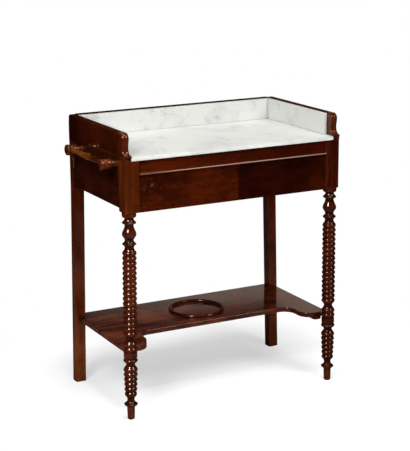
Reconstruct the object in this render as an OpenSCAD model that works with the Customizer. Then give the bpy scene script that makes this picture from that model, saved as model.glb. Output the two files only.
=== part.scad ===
// Washstand: a mahogany table with one drawer, a marble top with marble splashes in a
// low gallery, a jug shelf, turned front legs and a towel rail on its left side.
// Millimetres, Z up. The front faces -Y, and left and right are as seen from the front.
// The origin is on the floor, in the middle of the whole object's outer size.

/* [Carcase] */
// Width over the front posts
width = 800; // [740:1:880]
// Depth from the front of the posts to the back of the back legs
depth = 456; // [430:1:500]
// Height of the underside of the posts and of the drawer front
frieze_z = 700; // [660:1:750]
// Height of the frieze, from there up to the underside of the marble
frieze_h = 168; // [160:1:190]
// Side of the square front posts
post_w = 51; // [48:0.5:56]
// Width of a back leg at the frieze, seen from the front
back_leg_w = 37; // [34:0.5:44]
// Width of a back leg at the floor, seen from the front
back_leg_foot_w = 36; // [30:0.5:44]
// Thickness of a back leg from front to back
back_leg_d = 32; // [28:0.5:40]
// How far each back leg leans outwards from the frieze to the floor
splay = 13; // [4:0.5:20]
// Bevel round the foot of a back leg
foot_bevel = 2.5; // [1:0.5:4]
// Thickness of the side panels
side_t = 20; // [16:0.5:24]
// How far the side and back panels lie behind the faces of the legs
panel_inset = 2; // [1:0.5:4]
// Thickness of the back panel
back_t = 15; // [12:0.5:18]
// How far the side and back panels stop above the underside of the posts
panel_lift = 11; // [8:0.5:16]

/* [Joints] */
// Thickness of tenons and tongues
tenon_t = 8; // [6:0.5:10]
// Length of tenons and tongues
tenon_l = 12; // [8:0.5:15]
// Wood left over and under the tenons of the top rail and the tongues of the panels
tenon_shoulder = 9; // [7:0.5:12]
// Wood left between a tenon and the nearer face of its rail
tenon_set = 4; // [3:0.5:6]
// Slack round tenons, tongues, housings and dowels
slack = 0.2; // [0.1:0.05:0.3]
// Diameter of the wooden dowels
dowel_d = 8; // [6:0.5:10]
// Length of the wooden dowels
dowel_l = 40; // [30:1:44]

/* [Top rail and lip] */
// Thickness of the top rail
rail_t = 24; // [20:0.5:30]
// How far the hollow of the top rail goes back under the marble
cove_d = 6; // [3:0.5:9]
// Height of the top rail, with the lip
rail_h = 47; // [42:0.5:54]
// Height of the lip under the hollow
lip_h = 6; // [5:0.5:9]
// How far the lip stands out in front of the posts
lip_out = 4; // [2:0.5:6]

/* [Drawer] */
// Gap round the drawer front, and beside and over the drawer's sides
drawer_gap = 1; // [0.8:0.1:2]
// Thickness of the drawer front
front_t = 20; // [18:0.5:22]
// How far the drawer front lies behind the face of the posts
front_inset = 1.5; // [0.5:0.5:3]
// Thickness of the drawer's sides
drawer_side_t = 12; // [10:0.5:14]
// Thickness of the drawer's back
drawer_back_t = 10; // [8:0.5:14]
// Thickness of the drawer's bottom
drawer_bottom_t = 7; // [6:0.5:9]
// Depth of the groove for the drawer's bottom
groove_d = 5; // [4:0.5:6]
// How far the drawer's sides stop under the top of its front, and its back under its sides
side_drop = 6; // [5:0.5:12]
// Height of the drawer's bottom over the bearer
bottom_lift = 6; // [5:0.5:10]
// Length of the stops between the drawer's sides and the back legs
stop_l = 10.5; // [6:0.5:40]
// How far the drawer's back lies in front of the ends of its sides
drawer_back_set = 12; // [6:0.5:30]
// Dovetails at each end of the drawer front
tails = 3; // [2:1:4]
// Length of the dovetails
tail_l = 13; // [10:0.5:15]
// How much wider a dovetail is at its end than at its root
tail_flare = 5; // [3:0.5:7]
// Finger room between the drawer front and the bearer behind it
finger_gap = 14; // [12:0.5:18]
// How far the bearer and the runners lie above the underside of the posts
bearer_lift = 2; // [1:0.5:4]
// Height of the bearer and the runners under the drawer
bearer_h = 20; // [18:0.5:24]
// Depth of the bearer from front to back
bearer_d = 46; // [40:1:60]
// Width of the runners and of the kickers
runner_w = 50; // [46:1:56]
// Height of the guides beside the drawer and of the kickers over it
guide_h = 20; // [14:0.5:24]

/* [Marble] */
// Thickness of the marble slab
slab_t = 12; // [10:0.5:16]
// How far the slab runs into the gallery at its ends and its back
housing_d = 8; // [5:0.5:10]
// Thickness of the marble splashes
splash_t = 10; // [8:0.5:14]
// How far the splashes stop under the top of the gallery
splash_drop = 2; // [1:0.5:5]
// How far the side splashes stop behind the face of the posts
splash_back = 42; // [38:1:60]

/* [Gallery] */
// Height of the gallery over the posts
gallery_h = 88; // [80:1:110]
// Thickness of the gallery boards
gallery_t = 24; // [22:0.5:28]
// How far the waist of a gallery end lies behind the face of the posts
waist_back = 14; // [13:0.5:20]
// How far the shoulder over the waist lies behind the face of the posts
shoulder_back = 10; // [7:0.5:12]
// Length and height of the round over the shoulder
shoulder_round = [19, 17]; // [12:0.5:22]
// How far the toe of a gallery end stands out over the marble
toe_out = 3; // [3:0.5:7]
// Height of the toe's upright face over the marble
toe_h = 6; // [3:0.5:10]
// Height of the hollow between the waist and the toe
hollow_h = 22; // [18:0.5:28]
// Radius of the gallery's top corner at the back
corner_r = 10; // [4:0.5:14]

/* [Jug shelf] */
// Height of the top of the shelf
shelf_top = 243; // [225:1:260]
// Thickness of the shelf
shelf_t = 17; // [14:0.5:20]
// How far the straight front of the shelf lies behind the face of the posts
shelf_set_back = 168; // [140:1:180]
// How far the ends of the shelf lie inside the faces of the posts
shelf_inset = 3; // [1:0.5:5]
// Radius of the round ears at the front legs
ear_r = 48; // [42:0.5:54]
// Radius of the hollow between the straight front and an ear
ear_hollow_r = 40; // [30:0.5:46]
// How far the left ear reaches in from the face of the left post
left_ear_reach = 110; // [100:1:116]
// How far the right ear reaches in from the face of the right post
right_ear_reach = 94; // [90:1:116]
// How far the front of the ears lies behind the face of the posts
ear_back = 58; // [54:1:64]
// Thickness of the block under each ear
ear_block_t = 10; // [6:0.5:12]
// How far the left ear's block reaches in from the face of the left post
left_block_reach = 108; // [60:1:108]
// How far the right ear's block reaches in from the face of the right post
right_block_reach = 54; // [50:1:88]
// Length of the ear blocks from front to back
ear_block_l = 64; // [50:1:80]
// How far the front of an ear block lies behind the front of its ear
ear_block_inset = 1; // [0.5:0.5:3]
// Outer diameter of the jug ring
jug_ring_d = 198; // [170:1:220]
// Width of the jug ring's moulding
jug_ring_w = 12.5; // [9:0.5:16]
// Height of the jug ring
jug_ring_h = 10; // [7:0.5:14]
// How far the middle of the jug ring lies in front of the middle of the shelf
jug_ring_set = 18; // [0:1:30]

/* [Turned front legs] */
// How far the axis of a turned leg lies inside the outer faces of its post
turning_inset = 21.7; // [21.5:0.1:24]
// How far the left front leg leans outwards from the frieze to the floor
left_lean = 7.5; // [0:0.5:10]
// How far the right front leg leans outwards from the frieze to the floor
right_lean = 1; // [0:0.5:10]
// Height of the turning between a post and its bobbins
cap_h = 125; // [115:1:140]
// How far the turning between the bobbins rises over the shelf
cuff_up = 44; // [40:1:50]
// How far the turning between the bobbins goes down from the top of the shelf
cuff_down = 62; // [58:1:70]
// Height of the turning under the lower bobbins
sole_h = 79; // [70:1:90]
// Radius of the beads
bead_r = 23.3; // [21:0.1:24]
// Radius of the necks
neck_r = 14.5; // [12:0.1:16]
// Depth of the grooves between the bobbins
groove_r = 4.6; // [3:0.1:6]
// Bobbins above the shelf
upper_bobbins = 17; // [13:1:19]
// Bobbins below the shelf
lower_bobbins = 6; // [4:1:7]
// Radius of the last bobbin above the foot
last_bobbin_r = 20; // [18:0.1:22]
// Radius of the peg foot
peg_r = 13; // [11:0.1:14]

/* [Towel rail] */
// Height of the towel rail's middle
towel_z = 855; // [845:1:856]
// How far the front arm lies behind the face of the posts
front_arm_set = 66; // [64:1:120]
// How far the back arm lies in front of the back of the back legs
back_arm_set = 110; // [60:1:130]
// How far each arm stands out from the side panel
arm_l = 58; // [52:0.5:66]
// Radius of the barrel of an arm
barrel_r = 16.5; // [14:0.5:18]
// Radius of the button at the end of an arm
button_r = 18.3; // [15:0.1:20]
// Radius of the rail at its ends
bar_end_r = 7.5; // [5:0.1:8]
// Radius of the rail beside its middle bead
bar_mid_r = 10.5; // [8:0.1:12]
// Radius of the bead in the middle of the rail
bar_bead_r = 12.5; // [11:0.1:14]

/* [Hidden] */

mahogany = "#4a1a0c";
dark_mahogany = "#35120a";
carcase_wood = "#9a6f45";
drawer_wood = "#b08a5c";
marble = "#e4e6e0";

// How far a cut goes on past the face it starts from, and a joined shape into its neighbour
overlap = 1;

// Faces of the carcase, worked out on the +X side
half_w = width / 2;
front_y = -depth / 2;
back_y = depth / 2;
top_z = frieze_z + frieze_h;
post_in = half_w - post_w;
post_back = front_y + post_w;
leg_in = half_w - back_leg_w;
leg_front = back_y - back_leg_d;
panel_out = half_w - panel_inset;
panel_in = panel_out - side_t;
panel_z = frieze_z + panel_lift;
back_out = back_y - panel_inset;
back_in = back_out - back_t;

// Marble and gallery
slab_top = top_z + slab_t;
gallery_top = top_z + gallery_h;
gallery_in = half_w - gallery_t;
slab_half = gallery_in + housing_d;
slab_back = back_y - gallery_t + housing_d;
splash_h = gallery_top - splash_drop - slab_top;
splash_y = back_y - gallery_t - splash_t;

// Top rail and drawer
rail_z = top_z - rail_h;
rail_back = front_y + rail_t;
front_face = front_y + front_inset;
front_back = front_face + front_t;
front_h = rail_z - drawer_gap - frieze_z;
bearer_y = front_back + finger_gap;
bearer_z = frieze_z + bearer_lift;
bearer_top = bearer_z + bearer_h;
bearer_back = bearer_y + bearer_d;
drawer_half = post_in - drawer_gap;
drawer_in = drawer_half - drawer_side_t;
drawer_top = rail_z - drawer_gap - side_drop;
drawer_end = leg_front - stop_l;
drawer_side_z = bearer_top + drawer_gap / 2;
back_rear = drawer_end - drawer_back_set;
bottom_z = bearer_top + bottom_lift;
runner_in = panel_in - runner_w;
kicker_z = drawer_top + drawer_gap;

// Jug shelf and front leg axes
leg_x = half_w - turning_inset;
leg_y = front_y + turning_inset;
shelf_z = shelf_top - shelf_t;
shelf_half = half_w - shelf_inset;
shelf_front = front_y + shelf_set_back;
jug_ring_y = (shelf_front + back_y) / 2 - jug_ring_set;
ear_front = front_y + ear_back;
leg_notch_r = bead_r + slack;
shelf_mid = shelf_z + shelf_t / 2;
back_lean = splay * (1 - shelf_z / frieze_z);
back_taper = (back_leg_w - back_leg_foot_w) * (1 - shelf_z / frieze_z);
notch_in = leg_in + back_lean + back_taper - slack;

// Towel rail, which fixes the object's left end
button_end = panel_out + arm_l;
bar_x = panel_out + arm_l * 0.65;
front_arm_y = front_y + front_arm_set;
back_arm_y = back_y - back_arm_set;
bar_y = (front_arm_y + back_arm_y) / 2;
arm_peg_r = dowel_d / 2;
arm_peg_l = side_t * 0.7;
bar_peg_l = barrel_r * 0.5;

// The outer size runs from the towel rail to the right back foot, and from toe to back
centre_x = (button_end - half_w - splay) / 2;
centre_y = toe_out / 2;

// Places a sub-part that is drawn round the middle of the carcase
module placed() {
    translate([centre_x, centre_y, 0]) children();
}

// Draws a sub-part of the right side there, or mirrored on the left side
module on_side(side) {
    if (side == "left") mirror([1, 0, 0]) children();
    else children();
}

// A box from its lowest corner to its highest corner
module block(low, high) {
    translate(low) cube(high - low);
}

// Extrudes an outline given as [y, z] points along X
module along_x(x0, x1) {
    translate([x0, 0, 0]) rotate([90, 0, 90]) linear_extrude(x1 - x0) children();
}

// Upright dowel hole or dowel round a middle point
module upright(place, r, length) {
    translate(place) cylinder(r = r, h = length, center = true, $fn = 32);
}

// Level dowel hole or dowel, along Y, round a middle point
module level(place, r, length) {
    translate(place) rotate([90, 0, 0]) cylinder(r = r, h = length, center = true, $fn = 32);
}

// ---- Turned profiles, as [radius, height] points from the top down

// A run of bobbins whose radius changes evenly from the first to the last
bobbin_steps = 8;
function bobbins(high, low, count, r_high, r_low) = [
    for (i = [0:count * bobbin_steps])
        let (share = i / (count * bobbin_steps), wave = abs(sin(180 * i / bobbin_steps)))
        [r_high + (r_low - r_high) * share - groove_r * (1 - wave), high + (low - high) * share]
];

// A round bead between two heights
function bead(high, low, r_edge, r_peak) = [
    for (i = [0:bobbin_steps])
        let (angle = 180 * i / bobbin_steps)
        [r_edge + (r_peak - r_edge) * sin(angle), (high + low) / 2 + (high - low) / 2 * cos(angle)]
];

// A pear-shaped vase that is widest at the share peak_at of its height from the top
function vase(high, low, r_edge, r_peak, peak_at) = [
    for (i = [0:2 * bobbin_steps])
        let (share = i / (2 * bobbin_steps), bend = pow(share, ln(0.5) / ln(peak_at)))
        [r_edge + (r_peak - r_edge) * (1 - cos(360 * bend)) / 2, high + (low - high) * share]
];

// A turned stretch, from steps given as [share of its height from the top, radius]
function turned(high, height, steps) = [for (step = steps) [step[1], high - height * step[0]]];

// Collar, skirt ring, vase and lozenge ring, with a plug up into the square block
function cap_profile(high, height) = concat(
    turned(high, height, [[-0.04, 0], [-0.04, neck_r], [0, neck_r], [0, bead_r], [0.096, bead_r],
        [0.12, bead_r - 3], [0.152, neck_r], [0.256, bead_r], [0.28, bead_r - 1.5],
        [0.312, neck_r + 0.5]]),
    vase(high - 0.336 * height, high - 0.728 * height, neck_r, bead_r, 0.6),
    turned(high, height, [[0.816, bead_r - 0.6], [0.832, bead_r - 0.6], [0.912, neck_r + 0.5],
        [0.928, neck_r + 0.5]])
);

// Neck, two beads and plain drum round the shelf, then a ring and a neck
function cuff_profile(high, height) = concat(
    turned(high, height, [[0.066, neck_r], [0.104, neck_r]]),
    bead(high - 0.18 * height, high - 0.34 * height, bead_r - groove_r, bead_r),
    bead(high - 0.34 * height, high - 0.5 * height, bead_r - groove_r, bead_r),
    turned(high, height, [[0.505, bead_r - 1], [0.67, bead_r - 1], [0.708, bead_r - 4]]),
    bead(high - 0.717 * height, high - 0.84 * height, bead_r - 4, bead_r + 0.6),
    turned(high, height, [[0.887, neck_r], [0.915, neck_r]])
);

// Neck, sharp ring and peg, which goes on under the floor and is cut off there
function sole_profile(height) = turned(height, height, [[0.089, neck_r - 2.5],
    [0.165, neck_r - 2.5], [0.316, bead_r - 0.8], [0.367, bead_r - 2.3], [0.43, peg_r + 1],
    [0.494, peg_r], [0.899, peg_r - 1], [0.968, peg_r - 2.2], [1, peg_r - 5],
    [1.015, peg_r - 5], [1.015, 0]]);

function leg_profile() = concat(
    cap_profile(frieze_z, cap_h),
    bobbins(frieze_z - cap_h, shelf_top + cuff_up, upper_bobbins, bead_r, bead_r),
    cuff_profile(shelf_top + cuff_up, cuff_up + cuff_down),
    bobbins(shelf_top - cuff_down, sole_h, lower_bobbins, bead_r + 0.6, last_bobbin_r),
    sole_profile(sole_h)
);

// ---- Legs

// Where the axis of a leaning front leg meets the middle of the shelf
function shelf_leg_x(lean) = leg_x + lean * (1 - shelf_mid / frieze_z);

// Square block over a turned leg, with mortises for the rail, the bearer and the panel
module front_leg(lean) {
    color(mahogany) difference() {
        union() {
            block([post_in, front_y, frieze_z], [half_w, post_back, top_z]);
            translate([leg_x, leg_y, frieze_z]) rotate([0, -atan(lean / frieze_z), 0])
                translate([0, 0, -frieze_z]) rotate_extrude($fn = 64) polygon(leg_profile());
        }
        block([post_in, front_y, -sole_h], [half_w + 2 * lean, post_back, 0]);
        rail_tenon(slack);
        bearer_tenon(slack);
        side_tongue(slack);
        gallery_dowel(front_y + gallery_t, slack);
        shelf_dowel_front(lean, slack);
    }
}

// Straight to the frieze, then leaning outwards and tapering to the floor
module back_leg() {
    foot_out = half_w + splay;
    foot_in = foot_out - back_leg_foot_w;
    color(mahogany) difference() {
        intersection() {
            translate([0, back_y, 0]) rotate([90, 0, 0]) linear_extrude(back_leg_d) polygon([
                [leg_in, top_z], [half_w, top_z], [half_w, frieze_z], [foot_out, foot_bevel],
                [foot_out - foot_bevel, 0], [foot_in + foot_bevel, 0], [foot_in, foot_bevel],
                [leg_in, frieze_z]]);
            along_x(leg_in, foot_out) polygon([
                [leg_front, top_z], [back_y, top_z], [back_y, foot_bevel],
                [back_y - foot_bevel, 0], [leg_front + foot_bevel, 0], [leg_front, foot_bevel]]);
        }
        side_tongue(slack);
        back_tongue(slack);
        gallery_dowel(back_y - gallery_t / 2, slack);
        shelf_dowel_back(slack);
    }
}

// ---- Tenons and tongues, drawn on the right side, and their mortises with some slack

module rail_tenon(extra) {
    block([post_in - extra, rail_back - tenon_t - tenon_set - extra, rail_z + tenon_shoulder - extra],
        [post_in + tenon_l + extra, rail_back - tenon_set + extra, top_z - tenon_shoulder + extra]);
}

module bearer_tenon(extra) {
    block([post_in - extra, bearer_y + tenon_set - extra, bearer_z + tenon_set - extra],
        [post_in + tenon_l + extra, post_back - tenon_set + extra, bearer_top - tenon_set + extra]);
}

module side_tongue(extra) {
    middle = (panel_in + panel_out) / 2;
    block([middle - tenon_t / 2 - extra, post_back - tenon_l - extra, panel_z + tenon_shoulder - extra],
        [middle + tenon_t / 2 + extra, leg_front + tenon_l + extra, top_z - tenon_shoulder + extra]);
}

module back_tongue(extra) {
    middle = (back_in + back_out) / 2;
    block([leg_in - extra, middle - tenon_t / 2 - extra, panel_z + tenon_shoulder - extra],
        [leg_in + tenon_l + extra, middle + tenon_t / 2 + extra, top_z - tenon_shoulder + extra]);
}

// ---- Dowels, drawn on the right side, and their holes with some slack

module gallery_dowel(y, extra) {
    upright([(half_w + slab_half) / 2, y, top_z], dowel_d / 2 + extra, dowel_l + 2 * extra);
}

module shelf_dowel_front(lean, extra) {
    level([shelf_leg_x(lean), leg_y + bead_r, shelf_mid], dowel_d / 2 + extra, dowel_l + 2 * extra);
}

module shelf_dowel_back(extra) {
    level([notch_in + back_leg_foot_w / 2, leg_front, shelf_mid],
        dowel_d / 2 + extra, dowel_l + 2 * extra);
}

// ---- Panels and rails

module side_panel() {
    color(dark_mahogany) union() {
        block([panel_in, post_back, panel_z], [panel_out, leg_front, top_z]);
        side_tongue(0);
    }
}

// The tongues of the side panel and its arm holes on the left side
module left_panel() {
    difference() {
        side_panel();
        for (y = [front_arm_y, back_arm_y])
            translate([panel_out, y, towel_z]) rotate([0, 90, 0])
                cylinder(r = arm_peg_r + slack, h = 2 * (arm_peg_l + slack), center = true, $fn = 32);
    }
}

module back_panel() {
    color(carcase_wood) union() {
        block([-leg_in, back_in, panel_z], [leg_in, back_out, top_z]);
        back_tongue(0);
        mirror([1, 0, 0]) back_tongue(0);
    }
}

// Hollow front over a step that takes the lip
module top_rail() {
    cove_h = rail_h - lip_h;
    color(mahogany) union() {
        along_x(-post_in, post_in) polygon(concat(
            [[rail_back, rail_z], [rail_back, top_z]],
            [for (i = [0:6]) [front_y + cove_d * cos(90 * i / 6), top_z - cove_h * sin(90 * i / 6)]],
            [[front_y + lip_out, rail_z + lip_h], [front_y + lip_out, rail_z]]));
        rail_tenon(0);
        mirror([1, 0, 0]) rail_tenon(0);
    }
}

module lip_moulding() {
    bow = lip_h / 2;
    color(mahogany) along_x(-post_in, post_in) polygon(concat(
        [[front_y + lip_out, rail_z + lip_h], [front_y + lip_out, rail_z]],
        [for (i = [0:8]) let (angle = -90 + 180 * i / 8)
            [front_y - lip_out + bow - bow * cos(angle), rail_z + bow + bow * sin(angle)]]));
}

module front_bearer() {
    color(carcase_wood) union() {
        block([-post_in, bearer_y, bearer_z], [post_in, bearer_back, bearer_top]);
        bearer_tenon(0);
        mirror([1, 0, 0]) bearer_tenon(0);
    }
}

module runner() {
    color(carcase_wood)
        block([runner_in, bearer_back, bearer_z], [panel_in, leg_front, bearer_top]);
}

module guide() {
    color(carcase_wood)
        block([post_in, bearer_back, bearer_top], [panel_in, leg_front, bearer_top + guide_h]);
}

module kicker() {
    color(carcase_wood)
        block([runner_in, post_back, kicker_z], [panel_in, leg_front, kicker_z + guide_h]);
}

// Batten under the middle of the marble
module slab_bearer() {
    color(carcase_wood) block([-runner_w / 2, rail_back, top_z - bearer_h], [runner_w / 2, back_in, top_z]);
}

// Glued triangular blocks behind the posts and at the back legs
module corner_blocks() {
    reach = post_back - rail_back;
    color(carcase_wood) for (side = ["left", "right"]) on_side(side) {
        translate([post_in, rail_back, top_z - bearer_h]) linear_extrude(bearer_h)
            polygon([[0, 0], [0, reach], [-reach, 0]]);
        translate([leg_in, back_in, top_z - bearer_h]) linear_extrude(bearer_h)
            polygon([[0, 0], [0, leg_front - back_in], [-reach, 0]]);
    }
}

// Blocks on the runners, where the sides of the closed drawer stop
module drawer_stops() {
    color(carcase_wood) for (side = ["left", "right"]) on_side(side)
        block([drawer_in, drawer_end, bearer_top], [drawer_half, leg_front, bearer_top + guide_h]);
}

// ---- Drawer

// Dovetails of a side, or their sockets in the front with some slack
module drawer_tails(extra) {
    pitch = (drawer_top - drawer_side_z) / tails;
    root = 0.3 * pitch + extra;
    tip = root + tail_flare / 2;
    for (i = [0:tails - 1])
        along_x(drawer_in - extra, drawer_half + extra)
            translate([front_back, drawer_side_z + pitch * (i + 0.5)])
            polygon([[overlap, -root], [overlap, root],
                [-tail_l - extra, tip], [-tail_l - extra, -tip]]);
}

// Front with dovetail sockets, a groove for the bottom and a finger hollow in its lower edge,
// which is as long as half the front
module drawer_front() {
    hollow_r = front_t * 0.4;
    color(mahogany) difference() {
        block([-drawer_half, front_face, frieze_z], [drawer_half, front_back, frieze_z + front_h]);
        translate([0, front_back, frieze_z]) rotate([0, 90, 0])
            cylinder(r = hollow_r, h = drawer_half, center = true, $fn = 32);
        block([-drawer_in, front_back - groove_d, bottom_z],
            [drawer_in, drawer_end, bottom_z + drawer_bottom_t]);
        drawer_tails(slack);
        mirror([1, 0, 0]) drawer_tails(slack);
    }
}

// Side with dovetails, a groove for the bottom and a housing for the back
module drawer_side() {
    color(drawer_wood) difference() {
        union() {
            block([drawer_in, front_back, drawer_side_z], [drawer_half, drawer_end, drawer_top]);
            drawer_tails(0);
        }
        block([drawer_in - overlap, front_back - tail_l - overlap, bottom_z],
            [drawer_in + groove_d, drawer_end + overlap, bottom_z + drawer_bottom_t]);
        block([drawer_in - overlap, back_rear - drawer_back_t - slack, bottom_z],
            [drawer_in + groove_d, back_rear + slack, drawer_top + overlap]);
    }
}

module drawer_back() {
    half = drawer_in + groove_d - slack;
    color(drawer_wood) block([-half, back_rear - drawer_back_t, bottom_z + drawer_bottom_t],
        [half, back_rear, drawer_top - side_drop]);
}

// Bottom in the grooves of the sides, with a tongue into the front
module drawer_bottom() {
    half = drawer_in + groove_d - slack;
    high = bottom_z + drawer_bottom_t - slack / 2;
    color(drawer_wood) union() {
        block([-half, front_back, bottom_z + slack], [half, drawer_end, high]);
        block([slack - drawer_in, front_back - groove_d + slack, bottom_z + slack],
            [drawer_in - slack, front_back + overlap, high]);
    }
}

// ---- Marble

module marble_slab() {
    color(marble) block([-slab_half, front_y, top_z], [slab_half, slab_back, slab_top]);
}

module marble_back_splash() {
    color(marble) block([-gallery_in, splash_y, slab_top],
        [gallery_in, splash_y + splash_t, slab_top + splash_h]);
}

module marble_side_splash() {
    color(marble) block([gallery_in - splash_t, front_y + splash_back, slab_top],
        [gallery_in, splash_y, slab_top + splash_h]);
}

// ---- Gallery

// Room for the edges of the slab, with some slack over it and round it
module slab_housing() {
    block([-slab_half - slack, front_y - toe_out - overlap, top_z - overlap],
        [slab_half + slack, slab_back + slack, slab_top + slack]);
}

// Tongue of the gallery's back in its right end, or the mortise for it with some slack
module gallery_tongue(extra) {
    block([gallery_in - extra, back_y - (gallery_t + tenon_t) / 2 - extra, slab_top + tenon_t - extra],
        [gallery_in + tenon_l + extra, back_y - (gallery_t - tenon_t) / 2 + extra,
            gallery_top - tenon_l + extra]);
}

module gallery_back() {
    color(mahogany) difference() {
        union() {
            block([-gallery_in, back_y - gallery_t, top_z], [gallery_in, back_y, gallery_top]);
            gallery_tongue(0);
            mirror([1, 0, 0]) gallery_tongue(0);
        }
        slab_housing();
    }
}

// Side outline: a rounded shoulder, a waist, and a hollow that sweeps out to the toe
function gallery_outline() =
    let (round_y = front_y + shoulder_back + shoulder_round.x,
        round_z = gallery_top - shoulder_round.y,
        toe_z = slab_top + toe_h,
        waist_z = toe_z + hollow_h,
        swing = (waist_back - shoulder_back) / 2)
    concat(
        [for (i = [0:5]) [back_y - corner_r + corner_r * sin(18 * i),
            gallery_top - corner_r + corner_r * cos(18 * i)]],
        [[back_y, top_z], [front_y, top_z], [front_y, slab_top + slack],
         [front_y - toe_out, slab_top + slack]],
        [for (i = [6:-1:1]) [front_y - toe_out + (waist_back + toe_out) * cos(15 * i),
            waist_z - hollow_h * sin(15 * i)]],
        [for (i = [0:8]) [front_y + (waist_back + shoulder_back) / 2 + swing * cos(22.5 * i),
            waist_z + (round_z - waist_z) * i / 8]],
        [for (i = [5:-1:0]) [round_y - shoulder_round.x * sin(18 * i),
            round_z + shoulder_round.y * cos(18 * i)]]
    );

module gallery_side() {
    color(mahogany) difference() {
        along_x(gallery_in, half_w) polygon(gallery_outline());
        slab_housing();
        gallery_tongue(slack);
        gallery_dowel(front_y + gallery_t, slack);
        gallery_dowel(back_y - gallery_t / 2, slack);
    }
}

module gallery_dowels() {
    color(carcase_wood) for (side = ["left", "right"]) on_side(side) {
        gallery_dowel(front_y + gallery_t, 0);
        gallery_dowel(back_y - gallery_t / 2, 0);
    }
}

// ---- Jug shelf

// The shelf's outline on the +X side, with an ear that reaches in by reach
function half_shelf(reach) =
    let (ear_x = half_w - reach + ear_r, ear_y = ear_front + ear_r,
        hollow_x = half_w - reach - ear_hollow_r, hollow_y = shelf_front - ear_hollow_r)
    concat(
        [for (i = [0:12]) [hollow_x + ear_hollow_r * sin(7.5 * i), hollow_y + ear_hollow_r * cos(7.5 * i)]],
        [for (i = [0:12]) [ear_x - ear_r * cos(7.5 * i), ear_y - ear_r * sin(7.5 * i)]],
        [[leg_x, ear_front], [leg_x, leg_y + bead_r / 2], [shelf_half, leg_y + bead_r / 2],
         [shelf_half, back_y]]
    );

// The same outline on the -X side, back to front
function mirrored(points) = [for (i = [len(points) - 1:-1:0]) [-points[i].x, points[i].y]];

// A front leg stands in a round notch, a back leg in a square one
module leg_notches(lean) {
    translate([shelf_leg_x(lean), leg_y, shelf_z - 2 * ear_block_t])
        cylinder(r = leg_notch_r, h = shelf_t + 3 * ear_block_t, $fn = 64);
    block([notch_in, leg_front - slack, shelf_z - overlap],
        [half_w, back_y + overlap, shelf_top + overlap]);
}

// Notches and dowel holes of one end of the shelf
module shelf_end_cuts(lean) {
    leg_notches(lean);
    shelf_dowel_front(lean, slack);
    shelf_dowel_back(slack);
}

module undershelf() {
    color(mahogany) difference() {
        translate([0, 0, shelf_z]) linear_extrude(shelf_t)
            polygon(concat(half_shelf(right_ear_reach), mirrored(half_shelf(left_ear_reach))));
        on_side("left") shelf_end_cuts(left_lean);
        shelf_end_cuts(right_lean);
    }
}

// Block that thickens an ear from below, inside the ear's outline
module ear_block(ear_reach, block_reach, lean) {
    corner = ear_block_l / 6;
    color(mahogany) difference() {
        translate([0, 0, shelf_z - ear_block_t]) linear_extrude(ear_block_t) intersection() {
            polygon(half_shelf(ear_reach));
            translate([half_w - block_reach + corner, ear_front + ear_block_inset + corner])
                offset(r = corner, $fn = 48)
                square([block_reach - turning_inset - 2 * corner, ear_block_l - 2 * corner]);
        }
        leg_notches(lean);
    }
}

module shelf_dowels() {
    color(carcase_wood) {
        on_side("left") shelf_dowel_front(left_lean, 0);
        shelf_dowel_front(right_lean, 0);
        on_side("left") shelf_dowel_back(0);
        shelf_dowel_back(0);
    }
}

// Low ring with a rounded top, which keeps a jug from sliding
module jug_ring() {
    inner = jug_ring_d / 2 - jug_ring_w;
    straight = jug_ring_h - jug_ring_w / 2;
    color(mahogany) translate([0, jug_ring_y, shelf_top]) rotate_extrude($fn = 96) polygon(concat(
        [[inner, 0], [jug_ring_d / 2, 0]],
        [for (i = [0:8]) [jug_ring_d / 2 - jug_ring_w / 2 + jug_ring_w / 2 * cos(22.5 * i),
            straight + jug_ring_w / 2 * sin(22.5 * i)]]));
}

// ---- Towel rail

// Turned arm: a collar, a ball, a barrel that takes the rail, and a button at the end
function arm_profile() =
    let (collar_l = arm_l * 0.12, ball_start = arm_l * 0.16, ball_end = arm_l * 0.35,
        barrel_start = arm_l * 0.37, barrel_end = arm_l * 0.82, bevel = arm_l * 0.035)
    concat(
        [[0, -arm_peg_l], [arm_peg_r, -arm_peg_l], [arm_peg_r, 0]],
        [[barrel_r * 0.68, 0], [barrel_r * 0.68, collar_l], [barrel_r * 0.48, collar_l + bevel / 2]],
        [for (i = [0:6]) [barrel_r * (0.45 + 0.25 * sin(30 * i)),
            ball_start + (ball_end - ball_start) * i / 6]],
        [[barrel_r * 0.8, barrel_start], [barrel_r, barrel_start + bevel],
         [barrel_r, barrel_end - bevel], [barrel_r * 0.85, barrel_end],
         [button_r, barrel_end + bevel], [button_r, arm_l - bevel], [button_r - bevel, arm_l],
         [0, arm_l]]
    );

// An arm with its peg in the side panel and a socket for the end of the rail
module towel_arm(y, inward) {
    color(mahogany) difference() {
        translate([-panel_out, y, towel_z]) rotate([0, -90, 0])
            rotate_extrude($fn = 48) polygon(arm_profile());
        translate([-bar_x, y, towel_z]) rotate([-90 * inward, 0, 0])
            translate([0, 0, barrel_r - bar_peg_l])
            cylinder(r = bar_end_r + slack, h = barrel_r, $fn = 32);
    }
}

// Half of the rail from its middle bead to its end, as [radius, distance] points
function bar_profile() =
    let (half_bar = bar_y - front_arm_y - barrel_r + bar_peg_l - slack, bead_half = bar_bead_r * 0.6,
        step = (bar_bead_r - bar_mid_r) * 0.3, neck = bead_half + 3 * step)
    concat(
        [[0, -half_bar], [bar_end_r, -half_bar], [bar_mid_r, -neck], [bar_mid_r + step, -bead_half]],
        [for (i = [1:7]) [bar_mid_r + step + (bar_bead_r - bar_mid_r - step) * sin(22.5 * i),
            -bead_half * cos(22.5 * i)]],
        [[bar_mid_r + step, bead_half], [bar_mid_r, neck], [bar_end_r, half_bar], [0, half_bar]]
    );

module towel_bar() {
    color(mahogany) translate([-bar_x, bar_y, towel_z]) rotate([-90, 0, 0])
        rotate_extrude($fn = 48) polygon(bar_profile());
}

// ---- The parts

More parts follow.
